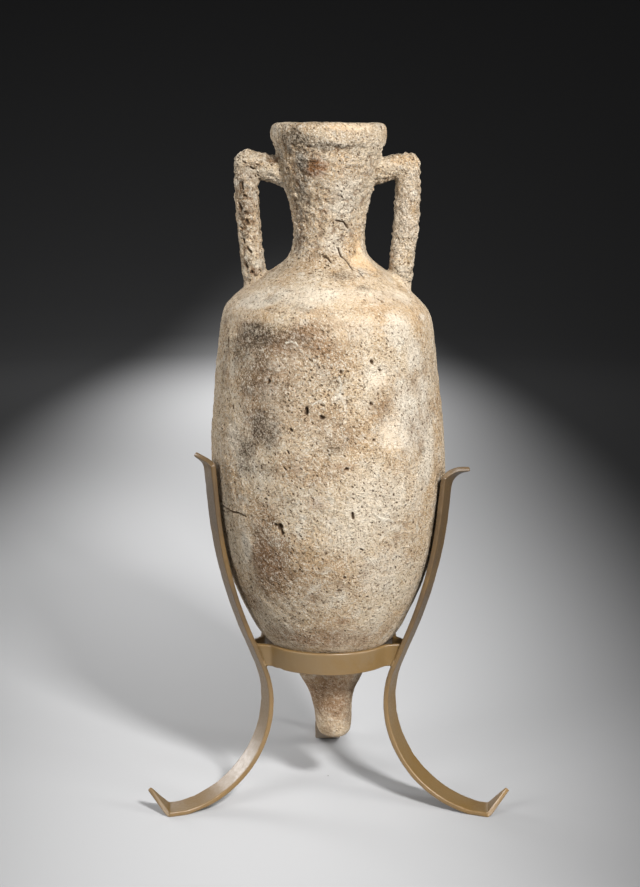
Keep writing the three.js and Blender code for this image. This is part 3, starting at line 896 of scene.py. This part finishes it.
def ring_reach_at(z, waist):
    """Distance from the axis to the inner face of a leg at a height near the ring."""
    line = leg_line(0)
    s = np.arange(line["top"] / 2, line["top"], LINE_STEP)
    inner, _, _ = bar_point(line, s, 0 * s, -LEG_THICK / 2 + 0 * s)
    return np.interp(z, inner[:, 2], inner[:, 0]) + waist


def ring_line(start_turn, end_turn, z, waist):
    """Plan line of a ring bar at one height: a tab, the arc and a tab, with soft corners."""
    middle_r = RING_INNER_R + RING_THICK / 2
    clear = math.asin((LEG_WIDTH / 2 + TAB_SIDE_GAP) / middle_r)
    turns = np.linspace(start_turn + clear, end_turn - clear, ARC_POINTS)
    arc = np.stack([np.cos(turns), np.sin(turns)], axis=1) * middle_r
    tab_turn = math.radians(TAB_TURN)
    length = (ring_reach_at(z, waist) - middle_r * math.cos(clear)) / math.cos(tab_turn)
    steps = np.linspace(1, 0, TAB_POINTS, endpoint=False)[:, None] * length
    first = arc[0] + steps * [math.cos(start_turn - tab_turn), math.sin(start_turn - tab_turn)]
    last = arc[-1] + steps[::-1] * [math.cos(end_turn + tab_turn), math.sin(end_turn + tab_turn)]
    line = np.vstack([first, arc, last])
    for _ in range(SOFTEN_ROUNDS):
        line[1:-1] = (line[:-2] + line[2:] + 2 * line[1:-1]) / 4
    return line


def ripple_tube(path, radius, sides, seed):
    """Closed bead of weld round a closed path."""
    points = []
    count = len(path)
    for i, point in enumerate(path):
        along = path[(i + 1) % count] - path[i - 1]
        along = along / norm(along)
        side = np.cross(along, [0.3, 0.2, 0.93])
        side = side / norm(side)
        up = np.cross(side, along)
        size = radius * (1 + 0.12 * math.sin(i * 1.9) + 0.2 * noise(point[None], 7, seed)[0])
        for k in range(sides):
            turn = 2 * math.pi * k / sides
            points.append(point + size * (math.cos(turn) * side + math.sin(turn) * up))
    return np.array(points), grid_faces(count, sides, closed_rows=True)


def make_ring_bar(name, start_turn, end_turn, low_z, waist, seed):
    """A bar of the ring from one leg to the next, with a bead of weld round each end."""
    section = flat_section(RING_HEIGHT, RING_THICK)
    rows = None
    rings = []
    wears = []
    for e, n in section:
        line = ring_line(start_turn, end_turn, low_z + RING_HEIGHT / 2 + e, waist)
        length = lengths(line)
        if rows is None:
            rows = np.linspace(0, 1, round(length[-1] / BAR_ROW_STEP))
        s = rows * length[-1]
        at = points_at(line, length, s)
        along = np.gradient(at, axis=0)
        along = along / norm(along, axis=1)[:, None]
        out = np.stack([along[:, 1], -along[:, 0]], axis=1)
        inward, dent, wear = hammered(s, e + 0 * s, n + 0 * s, RING_HEIGHT, seed)
        at = at + out * (n + 0.6 * dent)[:, None]
        z = low_z + RING_HEIGHT / 2 + e + 0.7 * inward
        rings.append(np.stack([at[:, 0], at[:, 1], z], axis=1))
        wears.append(wear)
    local = np.array(rings).transpose(1, 0, 2)
    wear = np.array(wears).T.ravel()
    points = local.reshape(-1, 3)
    faces = grid_faces(len(rows), len(section))
    for end_row in (local[0], local[-1]):
        bead, bead_faces = ripple_tube(end_row, WELD_R, 8, seed)
        start = len(points)
        points = np.vstack([points, bead])
        wear = np.concatenate([wear, np.full(len(bead), 0.15)])
        faces += [tuple(start + i for i in face) for face in bead_faces]
    return bar_object(name, points + [AXIS_X, AXIS_Y, 0], faces, wear)


def bar_object(name, points, faces, wear):
    """Object of a bar, with how worn each of its points is."""
    bar = mesh_object(name, points, faces)
    fix_normals(bar)
    add_mask(bar.data, "wear", wear)
    return bar


# Materials
class Nodes:
    """A material and short names for its nodes; sizes are in millimetres and masks are read off the mesh."""

    def __init__(self, name):
        self.material = bpy.data.materials.new(name)
        self.material.use_nodes = True
        self.tree = self.material.node_tree
        self.shader = self.tree.nodes["Principled BSDF"]

    def add(self, kind, inputs=(), **settings):
        """New node with its settings and fed inputs."""
        node = self.tree.nodes.new(kind)
        for key, value in settings.items():
            setattr(node, key, value)
        for key, value in dict(inputs).items():
            self.feed(node.inputs[key], value)
        return node

    def feed(self, socket, value):
        """Links another node's output, or sets a value."""
        if isinstance(value, bpy.types.NodeSocket):
            self.tree.links.new(value, socket)
        else:
            socket.default_value = value

    def mask(self, name):
        return self.add("ShaderNodeAttribute", attribute_name=name).outputs["Fac"]

    def place(self):
        return self.add("ShaderNodeTexCoord").outputs["Object"]

    def noise(self, place, size_mm, detail=4, roughness=0.6, distortion=0):
        node = self.add("ShaderNodeTexNoise", {
            "Vector": place, "Scale": 1000 / size_mm, "Detail": detail, "Roughness": roughness,
            "Distortion": distortion})
        return node.outputs["Fac"]

    def cells(self, place, size_mm):
        node = self.add("ShaderNodeTexVoronoi", {"Vector": place, "Scale": 1000 / size_mm})
        return node.outputs["Distance"]

    def ramp(self, value, low, high, start=0.0, end=1.0):
        """value from low to high brought to start to end, and held there past them."""
        node = self.add("ShaderNodeMapRange", {
            "Value": value, "From Min": low, "From Max": high, "To Min": start, "To Max": end},
            interpolation_type="SMOOTHSTEP")
        return node.outputs["Result"]

    def math(self, operation, a, b):
        node = self.add("ShaderNodeMath", {0: a, 1: b}, operation=operation)
        return node.outputs["Value"]

    def mix(self, share, a, b):
        node = self.add("ShaderNodeMix", data_type="RGBA")
        self.feed(node.inputs["Factor"], share)
        for index, value in ((6, a), (7, b)):
            if not isinstance(value, bpy.types.NodeSocket):
                value = (*value, 1.0)
            self.feed(node.inputs[index], value)
        return node.outputs[2]

    def coat(self, colour, tint, value, low, high, start=0.0, end=1.0, within=None):
        """Colour with a tint over it, from start to end as the value goes from low to high."""
        share = self.ramp(value, low, high, start, end)
        if within is not None:
            share = self.math("MULTIPLY", within, share)
        return self.mix(share, colour, tint)

    def bump(self, height, distance_mm, strength=1.0, onto=None):
        inputs = {"Height": height, "Distance": distance_mm * MM, "Strength": strength}
        if onto is not None:
            inputs["Normal"] = onto
        return self.add("ShaderNodeBump", inputs).outputs["Normal"]


# Colours of the clay, as shares of red, green and blue light
CREAM = (0.65, 0.52, 0.365)
TAN = (0.51, 0.35, 0.20)
# Pale crust, also used for painted highlights on raised grain and relief
WHITE = (0.75, 0.665, 0.54)
OCHRE = (0.52, 0.345, 0.17)
# Brown patches, also used for painted shade in low places of the relief
BROWN = (0.22, 0.125, 0.06)
RUST = (0.22, 0.085, 0.022)
# Dark of the stains, and of the painted leg shadow on the body
STAIN_AND_SHADOW_DARK = (0.045, 0.037, 0.027)
# Dark brown for painted shade in low grain, pits and cracks, and for dark specks
PORE_SHADE_AND_SPECK = (0.095, 0.057, 0.031)
RAW_CLAY = (0.36, 0.22, 0.13)
BARE_CLAY = (0.60, 0.40, 0.215)


def clay_material():
    """Fired clay under a pale and pitted sea crust, coloured by the masks of the mesh, with painted
    highlights on raised grain and painted shade in low places, pits and cracks.
    """
    n = Nodes("encrusted_terracotta")
    place = n.place()
    slanted = n.add("ShaderNodeMapping", {
        "Vector": place, "Rotation": (0, math.radians(45), 0), "Scale": (1.8, 1, 1)},
        vector_type="TEXTURE").outputs["Vector"]
    broad = n.noise(place, 90, 5)
    patch = n.noise(place, 26, 5, 0.65, 0.4)
    spot = n.noise(place, 8, 4, 0.65)
    lumps = n.noise(slanted, 4.8, 3, 0.7)
    grain = n.noise(place, 2.2, 2, 0.8)
    pores = n.cells(slanted, 5.5)
    crust = n.mask("crust")
    crust_share = n.ramp(crust, 0.05, 0.45, 0.4, 1.0)
    skin = n.math("ADD", n.math("MULTIPLY", lumps, 0.45), n.math("MULTIPLY", grain, 0.63))
    pitted = n.ramp(n.noise(place, 40, 3), 0.38, 0.6, 0.25, 1.0)
    skin = n.math("SUBTRACT", skin, n.math("MULTIPLY", pitted, n.ramp(pores, 0.3, 0.1, 0, 0.22)))

    colour = n.mix(n.ramp(broad, 0.36, 0.64), CREAM, TAN)
    colour = n.coat(colour, OCHRE, patch, 0.54, 0.76, 0, 0.8)
    colour = n.coat(colour, WHITE, patch, 0.46, 0.3, 0, 0.8)
    for mask, tint, lowest in (("pale", WHITE, 0.6), ("brown", BROWN, 0.55), ("bare", BARE_CLAY, 0.6)):
        colour = n.coat(colour, tint, spot, 0.3, 0.6, lowest, 1.0, within=n.mask(mask))
    # Painted highlight: the raised fine grain is lightened where the crust is strong
    colour = n.coat(colour, WHITE, skin, 0.54, 0.64, 0, 0.85, within=crust_share)
    # Stains, with the painted shadow of the right leg among them, and rust
    for mask, tint, lowest in (("stain_and_shadow", STAIN_AND_SHADOW_DARK, 0.35), ("rust", RUST, 0.6)):
        colour = n.coat(colour, tint, skin, 0.62, 0.46, lowest, 1.0, within=n.mask(mask))
    # Painted shade where the fine grain lies low, then dark specks at random
    colour = n.coat(colour, PORE_SHADE_AND_SPECK, skin, 0.495, 0.4, 0, 0.95, within=crust_share)
    colour = n.coat(colour, PORE_SHADE_AND_SPECK, spot, 0.6, 0.7, 0, 0.35, within=crust_share)
    # Painted shade in the low places of the relief and painted highlight on its raised places
    colour = n.coat(colour, BROWN, n.mask("height"), 0.48, 0.2, 0, 0.7)
    colour = n.coat(colour, WHITE, n.mask("height"), 0.55, 0.8, 0, 0.35)
    # Painted shade in the carved pits and cracks
    colour = n.coat(colour, PORE_SHADE_AND_SPECK, n.mask("hollow"), 0.3, 1.0, 0, 0.8)
    colour = n.coat(colour, WHITE, n.mask("worm"), 0.3, 0.8)
    colour = n.mix(n.mask("within"), colour, RAW_CLAY)
    n.feed(n.shader.inputs["Base Color"], colour)
    n.shader.inputs["Roughness"].default_value = 0.92
    n.shader.inputs["Specular IOR Level"].default_value = 0.2

    fine = n.bump(n.math("MULTIPLY", skin, crust_share), 11.0)
    coarse = n.bump(n.math("MULTIPLY", spot, n.math("ADD", crust, 0.3)), 7.0, 1.0, fine)
    n.feed(n.shader.inputs["Normal"], coarse)
    return n.material


# Colours of the bars, and the heights between which the legs grow darker
PAINT = (0.150, 0.085, 0.022)
PAINT_GREY = (0.155, 0.098, 0.040)
WORN_PAINT = (0.225, 0.126, 0.036)
OLD_METAL = (0.060, 0.033, 0.014)
LEG_DARKENING = (0.055, 0.032, 0.015)
DARKEN_FROM_Z = 120
DARKEN_FULL_Z = 300


def bar_material():
    """Satin brown paint, worn at the edges and darker higher up the legs."""
    n = Nodes("painted_bar")
    place = n.place()
    broad = n.noise(place, 60, 4)
    fine = n.noise(place, 4, 3)
    wear = n.mask("wear")
    colour = n.mix(n.ramp(broad, 0.35, 0.65), PAINT, PAINT_GREY)
    colour = n.coat(colour, WORN_PAINT, fine, 0.3, 0.6, 0.5, 1.0, within=wear)
    # The legs grow darker higher up
    colour = n.coat(colour, LEG_DARKENING, broad, 0.3, 0.6, 0.35, 0.7, within=n.mask("darker_higher_up"))
    colour = n.coat(colour, OLD_METAL, n.noise(place, 11, 4, 0.7), 0.66, 0.78, 0, 0.6)
    n.feed(n.shader.inputs["Base Color"], colour)
    n.feed(n.shader.inputs["Roughness"], n.ramp(fine, 0.3, 0.7, 0.36, 0.5))
    n.shader.inputs["Specular IOR Level"].default_value = 0.85
    n.feed(n.shader.inputs["Normal"], n.bump(n.math("ADD", fine, n.noise(place, 18, 2)), 0.35, 0.6))
    return n.material


# The object
clay = clay_material()
paint = bar_material()

vessel = worn_vessel()
vessel.data.materials.clear()
vessel.data.materials.append(clay)
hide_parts("amphora")
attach(vessel, "root")

back_toe, _, _, _ = make_leg("leg_back", **LEGS["leg_back"])
_, back_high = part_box("leg_back")
WAIST = back_high.y / MM - AXIS_Y - back_toe[:, 0].max()
for name, leg in LEGS.items():
    local, rows, section, wear = make_leg(name, **leg)
    faces = grid_faces(len(rows), len(section))
    bar = bar_object(name + "_bar", standing(local, leg["turn"], WAIST), faces, wear)
    add_mask(bar.data, "darker_higher_up", smooth_step(local[:, 2], DARKEN_FROM_Z, DARKEN_FULL_Z))
    bar.data.materials.append(paint)
    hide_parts(name)
    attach(bar, "root")

left, right, back = (math.radians(LEGS[name]["turn"] - 90) for name in LEGS)
ring_low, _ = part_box("ring_bar_front")
RINGS = {"ring_bar_front": (left, right), "ring_bar_right": (right, back),
         "ring_bar_left": (back - 2 * math.pi, left)}
for index, (name, (start_turn, end_turn)) in enumerate(RINGS.items()):
    bar = make_ring_bar(name + "_welded", start_turn, end_turn, ring_low.z / MM, WAIST, 50 + index)
    bar.data.materials.append(paint)
    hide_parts(name)
    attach(bar, "root")


# Studio: a floor that rises far away into a wall, with a painted pool of light round the object that fades to
# painted shade far away, and soft lights
FLOOR_R_M = 5.0
WALL_HEIGHT_M = 5.0
SWEEP_R_M = 2.5
FLOOR_COLUMNS = 96
PAINTED_POOL_CENTRE_M = (-0.12, 1.8, 0)
PAINTED_POOL_REACH_M = (0.7, 3.2, 1.6)
PAPER = (0.60, 0.60, 0.605)
PAPER_IN_PAINTED_SHADE = (0.02, 0.02, 0.0205)


def studio():
    """One sheet of paper, with a painted pool of light round the object that fades to painted shade far away
    from it.
    """
    profile = [(0.001, 0), (1, 0), (2, 0), (3, 0), (FLOOR_R_M, 0)]
    for step in range(1, 10):
        turn = math.radians(step * 10)
        profile.append((FLOOR_R_M + SWEEP_R_M * math.sin(turn), SWEEP_R_M * (1 - math.cos(turn))))
    profile.append((FLOOR_R_M + SWEEP_R_M, WALL_HEIGHT_M))
    points = []
    for r, z in profile:
        for k in range(FLOOR_COLUMNS):
            turn = 2 * math.pi * k / FLOOR_COLUMNS
            points.append((r * math.cos(turn) / MM, r * math.sin(turn) / MM, z / MM))
    faces = grid_faces(len(profile), FLOOR_COLUMNS)[:-2]
    floor = mesh_object("studio_floor", points, faces)
    n = Nodes("studio_paper")
    place = n.place()
    # Painted pool of light: the paper is pale near the pool's centre and fades to painted shade away from it
    painted_pool = n.add("ShaderNodeMapping", {
        "Vector": place, "Location": PAINTED_POOL_CENTRE_M, "Scale": PAINTED_POOL_REACH_M}, vector_type="TEXTURE")
    away = n.add("ShaderNodeVectorMath", {0: painted_pool.outputs["Vector"]}, operation="LENGTH").outputs["Value"]
    shade = n.mix(n.ramp(away, 0.2, 1.5), PAPER, PAPER_IN_PAINTED_SHADE)
    n.feed(n.shader.inputs["Base Color"], shade)
    n.shader.inputs["Roughness"].default_value = 0.9
    n.shader.inputs["Specular IOR Level"].default_value = 0.1
    floor.data.materials.append(n.material)


def soft_light(name, place, target, width, height, power):
    """Lamp with a broad face at a place in metres, turned to its target; power in watts."""
    data = bpy.data.lights.new(name, "AREA")
    data.shape = "RECTANGLE"
    data.size = width
    data.size_y = height
    data.energy = power
    light = bpy.data.objects.new(name, data)
    light.location = place
    light.rotation_euler = (Vector(target) - Vector(place)).to_track_quat("-Z", "Y").to_euler()
    light.visible_camera = False
    bpy.context.scene.collection.objects.link(light)


studio()
soft_light("key", (0.95, -2.15, 2.05), (0, 0, 0.55), 0.4, 0.4, 122)
soft_light("fill", (-1.9, -1.8, 1.3), (0, 0, 0.5), 1.2, 1.2, 36)
soft_light("side", (2.2, -1.1, 0.9), (0, 0, 0.42), 0.8, 0.8, 30)
soft_light("edge", (-1.9, 1.4, 0.9), (0, 0, 0.3), 1.0, 1.2, 42)
soft_light("backdrop", (-0.6, 4.0, 1.8), (-0.5, 4.4, 0), 1.5, 1.0, 60)
world = bpy.data.worlds.new("studio_air")
world.use_nodes = True
world.node_tree.nodes["Background"].inputs["Color"].default_value = (0.5, 0.5, 0.5, 1)
world.node_tree.nodes["Background"].inputs["Strength"].default_value = 0.35
bpy.context.scene.world = world
bpy.context.scene.view_settings.view_transform = "Standard"
